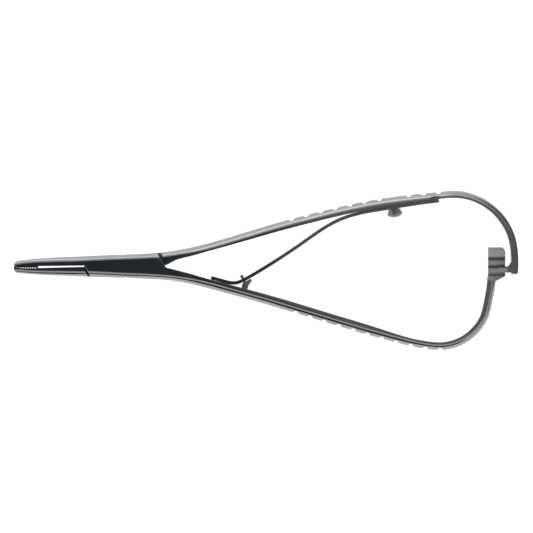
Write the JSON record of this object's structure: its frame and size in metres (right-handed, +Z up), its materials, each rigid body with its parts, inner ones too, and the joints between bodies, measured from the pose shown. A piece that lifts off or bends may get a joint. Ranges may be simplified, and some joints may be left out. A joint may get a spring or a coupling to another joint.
{
  "type": "needle holder",
  "caption": "Surgical needle holder with box lock, serrated jaws, bowed handles with grip grooves, leaf spring and end ratchet.",
  "frame": {"origin": "on the pivot axis, at the flat side that the instrument lies on", "axes": "+X from the pivot towards the handle ends, +Y towards the upper handle, +Z up, along the pivot axis"},
  "size_m": [0.1702, 0.0538, 0.0062],
  "materials": {
    "forged_steel": "satin stainless steel",
    "pin_steel": "satin stainless steel, ground flush",
    "spring_steel": "satin stainless spring steel",
    "screw_steel": "turned stainless steel",
    "keeper_steel": "satin stainless steel"
  },
  "bodies": {
    "box_body": {"box_half": "forged_steel", "pivot_pin": "pin_steel", "spring_keeper": "keeper_steel"},
    "shank_body": {"shank_half": "forged_steel", "leaf_spring": "spring_steel", "spring_screw": "screw_steel"}
  },
  "joints": [
    {"name": "pivot", "type": "hinge", "parent": "box_body", "child": "shank_body", "pos_m": [0, 0, 0.0031], "axis": [0, 0, 1], "range_deg": [0, 15], "deforming": ["leaf_spring"]}
  ]
}
